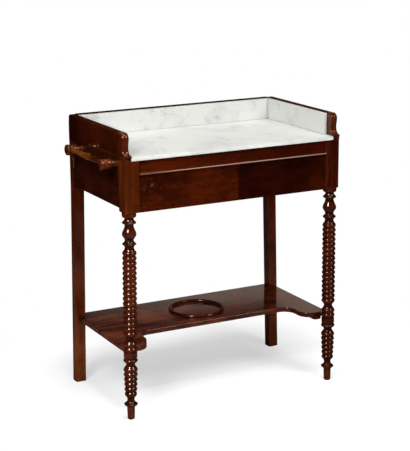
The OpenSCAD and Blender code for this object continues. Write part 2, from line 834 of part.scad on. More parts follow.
placed() on_side("left") front_leg(left_lean);  // left_front_leg
placed() front_leg(right_lean);  // right_front_leg
placed() on_side("left") back_leg();  // left_back_leg
placed() back_leg();  // right_back_leg
placed() on_side("left") left_panel();  // left_side_panel
placed() side_panel();  // right_side_panel
placed() back_panel();
placed() top_rail();
placed() lip_moulding();
placed() front_bearer();
placed() on_side("left") runner();  // left_runner
placed() runner();  // right_runner
placed() on_side("left") guide();  // left_guide
placed() guide();  // right_guide
placed() on_side("left") kicker();  // left_kicker
placed() kicker();  // right_kicker
placed() slab_bearer();
placed() corner_blocks();
placed() drawer_stops();
placed() drawer_front();
placed() on_side("left") drawer_side();  // drawer_left_side
placed() drawer_side();  // drawer_right_side
placed() drawer_back();
placed() drawer_bottom();
placed() marble_slab();
placed() marble_back_splash();
placed() on_side("left") marble_side_splash();  // marble_left_splash
placed() marble_side_splash();  // marble_right_splash
placed() gallery_back();
placed() on_side("left") gallery_side();  // gallery_left
placed() gallery_side();  // gallery_right
placed() gallery_dowels();
placed() undershelf();
placed() on_side("left") ear_block(left_ear_reach, left_block_reach, left_lean);  // left_ear_block
placed() ear_block(right_ear_reach, right_block_reach, right_lean);  // right_ear_block
placed() shelf_dowels();
placed() jug_ring();
placed() towel_arm(front_arm_y, 1);  // towel_front_arm
placed() towel_arm(back_arm_y, -1);  // towel_back_arm
placed() towel_bar();
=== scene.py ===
import math

import bmesh
import bpy
from mathutils import Matrix, Quaternion, Vector


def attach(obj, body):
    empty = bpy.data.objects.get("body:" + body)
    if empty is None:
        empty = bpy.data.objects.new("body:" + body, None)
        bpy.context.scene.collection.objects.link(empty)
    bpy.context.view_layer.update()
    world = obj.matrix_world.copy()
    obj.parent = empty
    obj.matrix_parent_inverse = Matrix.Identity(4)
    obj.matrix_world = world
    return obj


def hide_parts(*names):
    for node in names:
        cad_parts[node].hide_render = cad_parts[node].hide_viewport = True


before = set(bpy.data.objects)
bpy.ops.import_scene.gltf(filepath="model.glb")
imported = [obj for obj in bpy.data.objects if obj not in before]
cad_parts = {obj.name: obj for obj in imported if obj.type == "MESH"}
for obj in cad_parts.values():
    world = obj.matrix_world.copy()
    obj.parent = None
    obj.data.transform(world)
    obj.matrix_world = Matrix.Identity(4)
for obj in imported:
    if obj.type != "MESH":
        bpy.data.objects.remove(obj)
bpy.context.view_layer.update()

# Metres, z up, the drawer faces -y. Pieces are drawn round the middle of the carcase and moved
# there at the end, because the towel rail makes the whole object wider on the left.
stand = {
    "middle": (0.0215, 0.0015, 0.0),
    "halfWidth": 0.400, "front": -0.228, "back": 0.228,
    "friezeZ": 0.700, "topZ": 0.868, "slabTop": 0.880, "galleryTop": 0.956,
    "post": 0.051, "legX": 0.3783, "legY": -0.2063,
    "leftLean": 0.0075, "rightLean": 0.001,
    "slack": 0.0002,      # between the pieces of a joint
}
tiny = 1e-6               # points nearer than this are one point


class Wire:  # a value on its way through a material, which can be used in sums
    def __init__(self, finish, socket):
        self.finish = finish
        self.socket = socket

    def __add__(self, other):
        return self.finish.maths("ADD", self, other)

    def __radd__(self, other):
        return self.finish.maths("ADD", other, self)

    def __sub__(self, other):
        return self.finish.maths("SUBTRACT", self, other)

    def __rsub__(self, other):
        return self.finish.maths("SUBTRACT", other, self)

    def __mul__(self, other):
        return self.finish.maths("MULTIPLY", self, other)

    def __rmul__(self, other):
        return self.finish.maths("MULTIPLY", other, self)

    def out(self, name):  # another output of the same node
        return Wire(self.finish, self.socket.node.outputs[name])


class Finish:  # the nodes of one material, or of the world
    def __init__(self, owner):
        owner.use_nodes = True
        self.owner = owner
        self.tree = owner.node_tree
        self.shader = self.tree.nodes.get("Principled BSDF") or self.tree.nodes.get("Background")

    def node(self, kind, settings=(), values=(), output=0):
        made = self.tree.nodes.new(kind)
        for name, value in dict(settings).items():
            setattr(made, name, value)
        for name, value in dict(values).items():
            self.plug(made.inputs[name], value)
        return Wire(self, made.outputs[output])

    def plug(self, socket, value):
        if isinstance(value, Wire):
            self.tree.links.new(value.socket, socket)
        else:
            socket.default_value = value

    def maths(self, operation, first, second=0.0, clamp=False):
        return self.node("ShaderNodeMath", {"operation": operation, "use_clamp": clamp},
            {0: first, 1: second})

    def mix(self, mask, first, second, way="MIX"):
        return self.node("ShaderNodeMix", {"data_type": "RGBA", "blend_type": way},
            {0: mask, 6: first, 7: second}, output=2)

    def times(self, colour, factor):
        return self.mix(1.0, colour, factor, "MULTIPLY")

    def measure(self, operation, first, second=(0, 0, 0)):  # a number worked out from vectors
        return self.node("ShaderNodeVectorMath", {"operation": operation}, {0: first, 1: second},
            output="Value")

    def place(self):
        return self.node("ShaderNodeTexCoord", output="Object")

    def axis(self, name):
        return self.node("ShaderNodeSeparateXYZ", {}, {0: self.place()}, output=name)

    def wear(self):
        return self.node("ShaderNodeAttribute", {"attribute_name": "wear"}, output="Fac")

    def stretch(self, scale, shift=(0, 0, 0), turn=(0, 0, 0), vector=None):
        return self.node("ShaderNodeMapping", {}, {"Vector": vector or self.place(),
            "Location": shift, "Rotation": turn, "Scale": scale})

    def noise(self, vector, scale, detail=2.0, rough=0.5, bend=0.0):
        return self.node("ShaderNodeTexNoise", {}, {"Vector": vector, "Scale": scale,
            "Detail": detail, "Roughness": rough, "Distortion": bend})

    def ramp(self, value, low, high, lowest=0.0, highest=1.0):  # smooth step from low to high
        return self.node("ShaderNodeMapRange", {"interpolation_type": "SMOOTHSTEP"},
            {"Value": value, "From Min": low, "From Max": high,
                "To Min": lowest, "To Max": highest})

    def bump(self, height, strength, distance):
        return self.node("ShaderNodeBump", {},
            {"Strength": strength, "Distance": distance, "Height": height})

    # A zone is a direction, the two places along it between which the colour changes, and what
    # the colour is multiplied with
    def zoned(self, colour, zones):
        for way, low, high, factor in zones:
            along = self.measure("DOT_PRODUCT", self.place(), way)
            other = self.times(colour, (*factor, 1.0))
            colour = self.mix(self.ramp(along, low, high), colour, other)
        return colour

    def shine(self, **values):
        for name, value in values.items():
            self.plug(self.shader.inputs[name.replace("_", " ")], value)
        return self.owner


def paint(colour):  # a colour as a picture program shows it, from 0 to 255
    linear = [(c / 255 / 12.92) if c < 10.3 else ((c / 255 + 0.055) / 1.055) ** 2.4 for c in colour]
    return (*linear, 1.0)


# Here and in plain and stone, a noise is its scale, detail, roughness and bend. A step is the
# two values of a noise or a place between which something comes up, and from what to what.
polish = {
    "alongGrain": 0.07,       # how much the grain is drawn out
    "streak": (34.0, 4.0, 0.6, 0.6), "streakStep": (0.36, 0.66),
    "cloud": (8.0, 3.0, 0.55), "cloudStep": (0.42, 0.72, 0.0, 0.8),
    "line": (230.0, 3.0, 0.65), "lineStep": (0.42, 0.66), "lineColour": (128, 98, 84),
    "pore": (900.0, 1.0, 0.4), "poreStep": (0.63, 0.70), "poreShare": 0.45, "poreDark": 0.4,
    "curl": (26.0, 4.0, 0.62, 1.6), "curlAlong": 0.55, "curlTilt": 0.5,
    "curlLight": (0.40, 0.72), "curlDark": (0.55, 0.25), "curlDarkShare": 0.8,
    "rightStep": (-0.25, 0.42),       # along x, where the right side's colour comes up
    "nick": (210.0, 1.0, 0.4), "nickStep": (0.6, 0.7), "nickColour": (140, 92, 60),
    "nickDrawn": (1.0, 1.0, 0.3), "nickShift": (0.13, 0, 0.4),
    "nickReach": (0.05, 0.02, 0.0, 0.32),
    "patch": (55.0, 3.0, 0.6), "patchStep": (0.38, 0.62),
    "worn": (112, 52, 26), "wornShare": 0.38, "grimeShare": -0.5, "grimeDark": 0.55,
    "dullSoft": 0.004, "dullStep": (0.2, 0.3),
    "scuff": (16.0, 4.0, 0.7), "scuffStep": (0.5, 0.8), "scuffRough": 0.14,
    "poreRough": 0.1, "wornRough": 0.1, "coatLoss": 0.2,
    "dent": (24.0, 2.0, 0.5), "dentDeep": 0.5, "poreDeep": 0.12, "lineDeep": 0.04,
    "bump": (0.2, 0.001), "rough": 0.36, "specular": 0.04, "tint": (1.0, 0.55, 0.35, 1.0),
    "coatIor": 1.72,
}


# Figure is the strength of the curl across the grain, and fold the place where two leaves of
# veneer meet as mirror images. Dull is a height, and how much of the polish has gone below it at
# the left and at the right. Fresh says how the polish changes along x, and marks is the middle
# of a patch of pale scratches.
def polishedWood(name, grain, dark, middle, light, shift=(0, 0, 0), coat=0.9, gloss=0.06,
        figure=0.0, fold=None, right=(0.62, 0.5, 0.55), zones=(), dull=None, fresh=None,
        lineShare=0.34, marks=None):
    p = polish
    f = Finish(bpy.data.materials.new(name))
    flat = f.place()
    if fold is not None:
        away = f.maths("ABSOLUTE", f.axis("X") - fold)
        flat = f.node("ShaderNodeCombineXYZ", {}, {"X": away, "Y": f.axis("Y"), "Z": f.axis("Z")})
    drawn = [p["alongGrain"] if axis == grain else 1.0 for axis in "xyz"]
    flow = f.stretch(drawn, shift, vector=flat)
    streak = f.noise(flow, *p["streak"])
    colour = f.mix(f.ramp(streak, *p["streakStep"]), paint(dark), paint(middle))
    cloud = f.noise(f.stretch((1, 1, 1), shift, vector=flat), *p["cloud"])
    colour = f.mix(f.ramp(cloud, *p["cloudStep"]), colour, paint(light))
    if figure:
        tilt = (p["curlTilt"], 0, 0) if grain == "y" else (0, p["curlTilt"], 0)
        drawn = [p["curlAlong"] if axis == grain else 1.0 for axis in "xyz"]
        curl = f.noise(f.stretch(drawn, shift, tilt, flat), *p["curl"])
        bright = f.ramp(curl, *p["curlLight"], 0.0, figure)
        deep = f.ramp(curl, *p["curlDark"], 0.0, figure * p["curlDarkShare"])
        colour = f.mix(deep, f.mix(bright, colour, paint(light)), paint(dark))
    lines = f.ramp(f.noise(flow, *p["line"]), *p["lineStep"])
    colour = f.mix(lines * lineShare, colour, f.times(colour, paint(p["lineColour"])))
    pores = f.ramp(f.noise(flow, *p["pore"]), *p["poreStep"])
    colour = f.mix(pores * p["poreShare"], colour, paint([c * p["poreDark"] for c in dark]))
    across = f.ramp(f.axis("X"), *p["rightStep"])
    colour = f.mix(across, colour, f.times(colour, (*right, 1.0)))
    colour = f.zoned(colour, zones)
    if marks:
        nicks = f.noise(f.stretch(p["nickDrawn"], p["nickShift"]), *p["nick"])
        near = f.ramp(f.measure("DISTANCE", f.place(), marks), *p["nickReach"])
        colour = f.mix(f.ramp(nicks, *p["nickStep"]) * near, colour, paint(p["nickColour"]))
    edge = f.wear()
    patchy = f.ramp(f.noise(f.place(), *p["patch"]), *p["patchStep"])
    rub = f.maths("MULTIPLY", edge, patchy * p["wornShare"], clamp=True)
    grime = f.maths("MULTIPLY", edge, p["grimeShare"], clamp=True)
    colour = f.mix(rub, colour, paint(p["worn"]))
    colour = f.mix(grime, colour, paint([c * p["grimeDark"] for c in dark]))
    scuff = f.ramp(f.noise(f.place(), *p["scuff"]), *p["scuffStep"])
    rough = p["rough"] + scuff * p["scuffRough"] + pores * p["poreRough"] + rub * p["wornRough"]
    dents = f.noise(f.place(), *p["dent"])
    height = dents * p["dentDeep"] - pores * p["poreDeep"] - lines * p["lineDeep"]
    weight = coat - scuff * p["coatLoss"] - rub * p["coatLoss"]
    if dull:
        level, atLeft, atRight = dull
        below = f.ramp(f.axis("Z"), level + p["dullSoft"], level)
        weight = weight * (1.0 - below * f.ramp(f.axis("X"), *p["dullStep"], atLeft, atRight))
    if fresh:
        weight = weight * f.ramp(f.axis("X"), *fresh)
    return f.shine(Base_Color=colour, Roughness=rough, Normal=f.bump(height, *p["bump"]),
        Coat_Weight=weight, Coat_Roughness=gloss, Coat_IOR=p["coatIor"],
        Specular_IOR_Level=p["specular"], Specular_Tint=p["tint"])


plain = {
    "alongGrain": 0.06,
    "ring": (60.0, 3.0, 0.5, 0.8), "bands": 46.0, "bandStep": (0.1, 0.95), "bandDeep": 0.5,
    "fine": (420.0, 2.0, 0.6), "fineStep": (0.4, 0.7, 0.0, 0.35), "fineDark": 0.62,
    "stain": (9.0, 4.0, 0.6), "stainStep": (0.5, 0.78, 0.0, 0.45), "stainDark": 0.5,
    "rough": 0.62, "fineRough": 0.2, "bump": (0.3, 0.0006),
}


def plainWood(name, grain, dark, light, shift=(0, 0, 0)):  # unpolished wood inside the carcase
    p = plain
    f = Finish(bpy.data.materials.new(name))
    flow = f.stretch([p["alongGrain"] if axis == grain else 1.0 for axis in "xyz"], shift)
    bands = f.maths("SINE", f.noise(flow, *p["ring"]) * p["bands"]) * 0.5 + 0.5  # from 0 to 1
    fine = f.noise(flow, *p["fine"])
    colour = f.mix(f.ramp(bands, *p["bandStep"]), paint(light), paint(dark))
    colour = f.mix(f.ramp(fine, *p["fineStep"]), colour, paint([c * p["fineDark"] for c in dark]))
    stain = f.ramp(f.noise(f.place(), *p["stain"]), *p["stainStep"])
    colour = f.mix(stain, colour, paint([c * p["stainDark"] for c in dark]))
    return f.shine(Base_Color=colour, Roughness=p["rough"] + fine * p["fineRough"],
        Normal=f.bump(bands * p["bandDeep"] + fine, *p["bump"]))


stone = {
    "bend": (5.0, 5.0, 0.55), "bendReach": (0.16, 0.16, 0.16),
    "thread": (7.0, 6.0, 0.62), "threadDrawn": (1.0, 0.45, 1.6), "threadTurn": (0.3, 0.5, 0.7),
    # The value of the threads where a vein lies, and how far from it the vein fades out
    "wide": (0.47, 0.11), "wideShare": 0.30, "wideColour": (188, 193, 193),
    "thin": (0.5, 0.028), "thinShare": 0.32, "thinColour": (150, 155, 158),
    "cloud": (6.5, 4.0, 0.6), "cloudStep": (0.35, 0.75), "veinStep": (0.42, 0.62),
    "speck": (300.0, 2.0, 0.6), "speckStep": (0.55, 0.8, 0.0, 0.08),
    "speckColour": (160, 162, 160), "worn": (222, 204, 190), "wornShare": 0.25,
    "patch": (30.0, 3.0), "rough": 0.3, "patchRough": 0.14, "specular": 0.3,
    "bump": (0.1, 0.0005),
}


def veinedMarble(name, light, grey, shift, veins, zones):
    s = stone
    f = Finish(bpy.data.materials.new(name))
    moved = f.stretch((1, 1, 1), shift)
    bent = f.node("ShaderNodeVectorMath", {"operation": "MULTIPLY_ADD"},
        {0: f.noise(moved, *s["bend"]).out("Color"), 1: s["bendReach"], 2: moved})
    threads = f.noise(f.stretch(s["threadDrawn"], turn=s["threadTurn"], vector=bent), *s["thread"])
    cloud = f.noise(moved, *s["cloud"])
    where = f.ramp(cloud, *s["veinStep"])
    colour = f.mix(f.ramp(cloud, *s["cloudStep"]), paint(light), paint(grey))
    for kind in ("wide", "thin"):
        middle, reach = s[kind]
        vein = f.ramp(f.maths("ABSOLUTE", threads - middle), 0.0, reach, 1.0, 0.0)
        share = vein * where * (s[kind + "Share"] * veins)
        colour = f.mix(share, colour, paint(s[kind + "Colour"]))
    speck = f.noise(f.place(), *s["speck"])
    colour = f.mix(f.ramp(speck, *s["speckStep"]), colour, paint(s["speckColour"]))
    colour = f.zoned(colour, zones)
    rub = f.maths("MULTIPLY", f.wear(), s["wornShare"], clamp=True)
    colour = f.mix(rub, colour, paint(s["worn"]))
    return f.shine(Base_Color=colour, Normal=f.bump(speck, *s["bump"]),
        Roughness=s["rough"] + f.noise(f.place(), *s["patch"]) * s["patchRough"],
        Specular_IOR_Level=s["specular"])


finishes = {
    "legs": polishedWood("mahoganyLegs", "z", (58, 18, 5), (84, 30, 7), (100, 38, 10),
        coat=0.85, dull=(0.615, 0.3, 0.6), right=(0.56, 0.43, 0.42), zones=[
            ((0, 0, 1), 0.698, 0.702, (1.6, 1.85, 1.3)),         # the square blocks
            ((1, 0, 2), 1.7, 1.8, (0.85, 0.75, 0.9)),            # the right one
            ((0, 0, -1), -0.055, -0.04, (1.35, 1.4, 1.5))]),     # the peg feet
    "backLegs": polishedWood("mahoganyBackLegs", "z", (62, 20, 4), (88, 32, 7), (104, 42, 11),
        coat=0.5, right=(0.95, 0.8, 0.7), zones=[
            ((0, 0, -1), -0.45, -0.1, (2.0, 2.8, 4.0)),          # lighter towards the floor: painted reflection of the paper
            ((0, 0, 1), 0.72, 0.73, (0.65, 0.65, 0.7))]),        # beside the frieze: painted shade
    "rails": polishedWood("mahoganyRails", "x", (54, 15, 2), (72, 22, 3), (84, 27, 4),
        (0.3, 0, 0), zones=[
            ((0, 0, 1), 0.848, 0.867, (0.5, 0.5, 0.5))]),        # painted shadow under the marble's overhang
    "lip": polishedWood("mahoganyLip", "x", (62, 20, 6), (80, 30, 10), (90, 38, 14),
        (0.3, 0, 0), coat=0.5, gloss=0.09, fresh=(-0.36, -0.2, 0.7, 1.0)),
    "ring": polishedWood("mahoganyRing", "z", (48, 18, 8), (72, 29, 14), (88, 42, 24),
        (0.3, 0, 0.2), coat=0.75, gloss=0.16),
    "sides": polishedWood("mahoganySides", "y", (38, 10, 2), (56, 18, 4), (70, 26, 7),
        (0, 0.2, 0), coat=0.6, figure=0.3),
    "gallery": polishedWood("mahoganyGallery", "y", (56, 16, 2), (66, 20, 2), (80, 27, 4),
        (0, 0.6, 0), coat=1.0, fresh=(0.2, 0.4, 1.0, 0.45), right=(0.85, 0.8, 0.55), zones=[
            ((0, 1, 0.6), 0.55, 0.78, (0.72, 0.66, 0.8)),        # the top at the back
            ((0, 1, -0.6), -0.6, -0.35, (0.75, 0.7, 0.8)),       # the foot at the back
            ((0, -1, 0), 0.175, 0.2, (1.35, 1.5, 1.9))]),        # the noses
    "galleryBack": polishedWood("mahoganyGalleryBack", "x", (46, 14, 4), (66, 22, 7),
        (82, 32, 12)),
    "veneer": polishedWood("figuredVeneer", "x", (42, 11, 1), (66, 19, 2), (84, 27, 4),
        (0.9, 0, 0.4), figure=0.55, fold=0.0295, right=(0.9, 0.85, 1), zones=[
            ((1, 0, 0), 0.028, 0.032, (0.36, 0.3, 0.6)),         # the right leaf
            ((1, 0, -0.4), -0.12, 0.05, (1.7, 1.9, 1.0)),        # its lower corner
            ((1, 0, 0), 0.28, 0.34, (1.35, 1.5, 1.1))],          # its end
        marks=(-0.285, -0.25, 0.775)),
    "shelf": polishedWood("mahoganyShelf", "x", (26, 7, 3), (112, 44, 23), (146, 78, 52),
        (0.2, 0.5, 0), coat=0.8, gloss=0.05, right=(0.36, 0.24, 0.18), lineShare=0.55, zones=[
            ((-0.04, 1, 0), 0.170, 0.175, (0.3, 0.26, 0.24))]),  # painted shadow of the frieze, along the back
    "rail": polishedWood("towelRailWood", "y", (112, 60, 8), (146, 86, 14), (176, 120, 44),
        (0.5, 0, 0), right=(1, 1, 1), zones=[
            ((0, -1, 0), 0.0, 0.08, (0.32, 0.17, 0.4))]),        # the front half
    "arms": polishedWood("mahoganyArms", "x", (70, 24, 6), (100, 42, 13), (124, 62, 28),
        (0.1, 0, 0), coat=0.85, gloss=0.07),
    "pineX": plainWood("pineAcross", "x", (126, 84, 46), (170, 126, 78)),
    "pineY": plainWood("pineDeep", "y", (126, 84, 46), (170, 126, 78)),
    "liningX": plainWood("liningAcross", "x", (140, 104, 62), (184, 148, 100), (0.4, 0, 0)),
    "liningY": plainWood("liningDeep", "y", (140, 104, 62), (184, 148, 100), (0, 0.4, 0)),
    "marble": veinedMarble("marbleTop", (234, 234, 229), (226, 228, 224), (0.2, 0.1, 0), 0.6, [
        ((1, 1, 0), 0.42, 0.58, (0.92, 0.92, 0.93)),             # painted shade in the far right corner
        ((0, 1, 0), 0.165, 0.195, (0.94, 0.94, 0.94))]),         # painted shade along the back splash
    "splash": veinedMarble("marbleSplash", (219, 220, 216), (208, 211, 209), (0.37, 0.6, 0.2),
        1.25, [
            ((1, 1, 0), 0.574, 0.583, (0.78, 0.78, 0.8)),        # painted shade in the far right corner
            ((0, 0, -1), -0.8835, -0.8812, (0.8, 0.8, 0.8))]),   # the joint with the slab
}
print("materials:", len(finishes))


def addBlock(mesh, low, high):
    made = bmesh.ops.create_cube(mesh, size=1.0)["verts"]
    bmesh.ops.scale(mesh, vec=[h - l for l, h in zip(low, high)], verts=made)
    bmesh.ops.translate(mesh, vec=[(l + h) / 2 for l, h in zip(low, high)], verts=made)


def drawOut(mesh, face, way):  # a face drawn out into a solid
    made = bmesh.ops.extrude_face_region(mesh, geom=[face])["geom"]
    ends = [g for g in made if isinstance(g, bmesh.types.BMVert)]
    bmesh.ops.translate(mesh, vec=way, verts=ends)
    bmesh.ops.recalc_face_normals(mesh, faces=mesh.faces)


def rise(edge):
    return abs(edge.verts[0].co.z - edge.verts[1].co.z)


def creaseOver(mesh, angle):  # edges sharper than this angle stay hard, and the others are smooth
    for edge in mesh.edges:
        edge.smooth = edge.calc_face_angle(0) < math.radians(angle)


def wearLayer(mesh):
    return mesh.loops.layers.float.get("wear") or mesh.loops.layers.float.new("wear")


def easeEdges(mesh, edges, width, steps=2, wear=1.0):
    wearLayer(mesh)
    made = bmesh.ops.bevel(mesh, geom=list(edges), offset=width, segments=steps, profile=0.5,
        affect="EDGES", material=-1, clamp_overlap=True)
    layer = wearLayer(mesh)
    for face in made["faces"]:
        face.smooth = True
        for corner in face.loops:
            corner[layer] = wear


def sharpEdges(mesh, angle=40):
    return [e for e in mesh.edges
        if e.is_manifold and e.is_convex and e.calc_face_angle(0) > math.radians(angle)]


def keepPiece(mesh, name, body, nodes, finish, moved=True):
    if moved:
        bmesh.ops.translate(mesh, vec=stand["middle"], verts=mesh.verts)
    data = bpy.data.meshes.new(name)
    mesh.to_mesh(data)
    mesh.free()
    data.materials.append(finishes[finish])
    piece = bpy.data.objects.new(name, data)
    bpy.context.scene.collection.objects.link(piece)
    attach(piece, body)
    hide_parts(*nodes)
    return piece


# A CAD node's own shape with its outer arrises eased
def easedCopy(node, name, finish, width, body="carcase", steps=2):
    mesh = bmesh.new()
    mesh.from_mesh(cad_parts[node].data)
    bmesh.ops.remove_doubles(mesh, verts=mesh.verts, dist=tiny)
    bmesh.ops.dissolve_limit(mesh, angle_limit=math.radians(1.0), verts=mesh.verts,
        edges=mesh.edges)
    easeEdges(mesh, sharpEdges(mesh), width, steps)
    keepPiece(mesh, name, body, [node], finish, moved=False)


bendSteps = {"bulge": 5, "cove": 5, "ogee": 8}


# One stretch of a turned line, from one radius to the next
def stretchOf(start, end, bend):
    points = []
    for i in range(1, bendSteps[bend] + 1):
        t = i / bendSteps[bend]
        if bend == "ogee":
            share = (1 - math.cos(math.pi * t)) / 2
        elif (bend == "bulge") == (end[0] > start[0]):
            share = math.sin(math.pi * t / 2)
        else:
            share = 1 - math.cos(math.pi * t / 2)
        points.append((start[0] + (end[0] - start[0]) * share, start[1] + (end[1] - start[1]) * t))
    return points


# Stations are (radius, height, bend) in millimetres, and the bend is the way there from the
# station before
def turnedLine(stations):
    line = [stations[0][:2]]
    for before, station in zip(stations, stations[1:]):
        if station[2] == "line":
            line.append(station[:2])
        else:
            line += stretchOf(before, station, station[2])
    return [(radius / 1000, height / 1000) for radius, height in line]


def turn(mesh, line, steps=56):
    points = [mesh.verts.new((r, 0, z)) for r, z in line]
    edges = [mesh.edges.new(pair) for pair in zip(points, points[1:])]
    bmesh.ops.spin(mesh, geom=points + edges, cent=(0, 0, 0), axis=(0, 0, 1), angle=2 * math.pi,
        steps=steps, use_merge=True)
    bmesh.ops.remove_doubles(mesh, verts=mesh.verts, dist=tiny)
    bmesh.ops.recalc_face_normals(mesh, faces=mesh.faces)
    for face in mesh.faces:
        face.smooth = True
    creaseOver(mesh, 38)


# Wear grows with the radius: crests are rubbed and grooves hold dark polish
def wearByRadius(mesh, low, high):
    layer = wearLayer(mesh)
    for face in mesh.faces:
        for corner in face.loops:
            r = math.hypot(corner.vert.co.x, corner.vert.co.y)
            corner[layer] = max(-1.0, min(1.0, 2 * (r - low) / (high - low) - 1))


# Millimetres
turning = {
    "bead": 23.3, "groove": 4.6, "neck": 14.5,
    "upperBobbins": 17, "upperTop": 575, "upperFoot": 287,
    "lowerBobbins": 6, "lowerTop": 181, "lowerFoot": 79, "lastBobbin": 20,
}


def bobbinStations(top, foot, count, first, last):
    stations = []
    for i in range(count):
        radius = first + (last - first) * (i + 0.5) / count
        ends = first + (last - first) * (i + 1) / count - turning["groove"]
        stations.append((radius, top + (foot - top) * (i + 0.5) / count, "bulge"))
        stations.append((ends, top + (foot - top) * (i + 1) / count, "bulge"))
    return stations


def beadStations(top, foot, edge, peak):
    return [(peak, (top + foot) / 2, "bulge"), (edge, foot, "bulge")]


def legLine():
    t = turning
    bead, neck = t["bead"], t["neck"]
    groove, lowerBead = bead - t["groove"], bead + 0.6
    stations = [(0, 705, "line"), (neck, 705, "line"), (neck, 700, "line"), (bead, 700, "line"),
        (bead, 689.5, "line"), (bead - 3, 685, "bulge"), (neck, 681, "cove"),
        (bead, 668, "cove"), (bead - 1.5, 665, "line"), (neck + 0.5, 660.5, "cove"),
        (neck, 658, "line"), (bead, 628.6, "ogee"), (neck, 609, "ogee"),
        (bead - 0.6, 598, "cove"), (bead - 0.6, 596, "line"), (neck + 0.5, 586, "cove"),
        (neck + 0.5, 584, "line"), (groove, t["upperTop"], "cove")]
    stations += bobbinStations(t["upperTop"], t["upperFoot"], t["upperBobbins"], bead, bead)
    stations += [(neck, 280, "cove"), (neck, 276, "line"), (groove, 267.9, "line")]
    stations += beadStations(267.9, 251, groove, bead)
    stations += beadStations(251, 234, groove, bead)
    stations += [(bead - 1, 233.4, "line"), (bead - 1, 216, "line"), (bead - 4, 212, "bulge"),
        (bead - 4, 211, "line")]
    stations += beadStations(211, 198, bead - 4, lowerBead)
    stations += [(neck, 193, "cove"), (neck, 190, "line"),
        (lowerBead - t["groove"], t["lowerTop"], "cove")]
    stations += bobbinStations(t["lowerTop"], t["lowerFoot"], t["lowerBobbins"], lowerBead,
        t["lastBobbin"])
    stations += [(neck - 2.5, 72, "cove"), (neck - 2.5, 66, "line"), (bead - 0.8, 54, "cove"),
        (bead - 2.3, 50, "line"), (14, 45, "cove"), (13, 40, "cove"), (12, 8, "line"),
        (10.8, 2.5, "bulge"), (8, 0, "bulge"), (0, 0, "line")]
    return turnedLine(stations)


def longEdges(mesh, foot):  # a post's upright edges, and those that lie lower than foot
    return [e for e in mesh.edges if max(v.co.z for v in e.verts) < foot or rise(e) > 0.1]


post = {
    "arris": 0.0022, "wear": 0.6,
    "crests": (0.0165, 0.0245),       # the radii of the darkest groove and the palest crest
    "pegTop": 0.048, "pegWear": 0.7,  # the peg foot is scuffed all over
}


def frontLeg(side, lean):
    sign = -1 if side == "left" else 1
    mesh = bmesh.new()
    turn(mesh, legLine())
    wearByRadius(mesh, *post["crests"])
    layer = wearLayer(mesh)
    for face in mesh.faces:
        for corner in face.loops:
            if corner.vert.co.z < post["pegTop"]:
                corner[layer] = post["pegWear"]
    bmesh.ops.rotate(mesh, cent=(0, 0, stand["friezeZ"]), verts=mesh.verts,
        matrix=Matrix.Rotation(-sign * math.atan(lean / stand["friezeZ"]), 3, "Y"))
    for vert in mesh.verts:
        vert.co.z = max(vert.co.z, 0.0)
    bmesh.ops.translate(mesh, vec=(sign * stand["legX"], stand["legY"], 0), verts=mesh.verts)
    block = bmesh.new()
    left, right = sorted((sign * (stand["halfWidth"] - stand["post"]), sign * stand["halfWidth"]))
    addBlock(block, (left, stand["front"], stand["friezeZ"]),
        (right, stand["front"] + stand["post"], stand["topZ"]))
    easeEdges(block, longEdges(block, stand["friezeZ"] + 0.001), post["arris"], 3, post["wear"])
    data = bpy.data.meshes.new("block")
    block.to_mesh(data)
    block.free()
    mesh.from_mesh(data)
    bpy.data.meshes.remove(data)
    keepPiece(mesh, side + "FrontLeg", "carcase", [side + "_front_leg"], "legs")


frontLeg("left", stand["leftLean"])
frontLeg("right", stand["rightLean"])


# Straight to the frieze, then leaning outwards to the floor. Top and foot are the places of the
# inner and the outer face.
backLeg = {
    "top": (0.363, 0.400), "foot": (0.377, 0.413), "front": 0.196, "arris": 0.0008, "wear": 0.3,
}


def squareLeg(side):
    mesh = bmesh.new()
    inner, outer = backLeg["top"]
    addBlock(mesh, (inner, backLeg["front"], 0), (outer, stand["back"], stand["topZ"]))
    bmesh.ops.bisect_plane(mesh, geom=mesh.verts[:] + mesh.edges[:] + mesh.faces[:],
        plane_co=(0, 0, stand["friezeZ"]), plane_no=(0, 0, 1))
    for vert in mesh.verts:
        if vert.co.z < tiny:
            vert.co.x = backLeg["foot"][0 if vert.co.x < (inner + outer) / 2 else 1]
    easeEdges(mesh, longEdges(mesh, tiny), backLeg["arris"], 3, backLeg["wear"])
    if side == "left":
        bmesh.ops.scale(mesh, vec=(-1, 1, 1), verts=mesh.verts)
        bmesh.ops.recalc_face_normals(mesh, faces=mesh.faces)
    keepPiece(mesh, side + "BackLeg", "carcase", [side + "_back_leg"], "backLegs")


squareLeg("left")
squareLeg("right")
print("legs: done")


arrises = {"panel": 0.0006, "drawer": 0.0009, "marble": 0.0012, "gallery": 0.003, "ear": 0.0015}
for side in ("left", "right"):
    easedCopy(side + "_side_panel", side + "SidePanel", "sides",
        arrises["panel"])
easedCopy("top_rail", "topRail", "rails", arrises["panel"])
easedCopy("drawer_front", "drawerFront", "veneer", arrises["drawer"], "drawer")
easedCopy("marble_slab", "marbleSlab", "marble", arrises["marble"], steps=3)

# The lip leans back a little under its round top, and so catches the light along its length
lip = {
    "low": 0.821, "high": 0.827, "back": -0.224, "front": -0.232, "halfLength": 0.349,
    "lean": 0.0016, "faceHigh": 0.0036, "foot": 0.0008, "crown": 0.0026,
}


def lipLine():
    low, high, front, foot = lip["low"], lip["high"], lip["front"], lip["foot"]
    face = [(front + lip["lean"] * t ** 2, low + foot + lip["faceHigh"] * t)
        for t in (0, 0.25, 0.5, 0.75, 1)]
    y, z = face[-1]
    quarter = [math.pi / 2 * i / 5 for i in range(1, 6)]
    crown = [(y + lip["crown"] * (1 - math.cos(a)), z + (high - z) * math.sin(a))
        for a in quarter]
    return [(lip["back"], low), (front + foot, low)] + face + crown + [(lip["back"], high)]


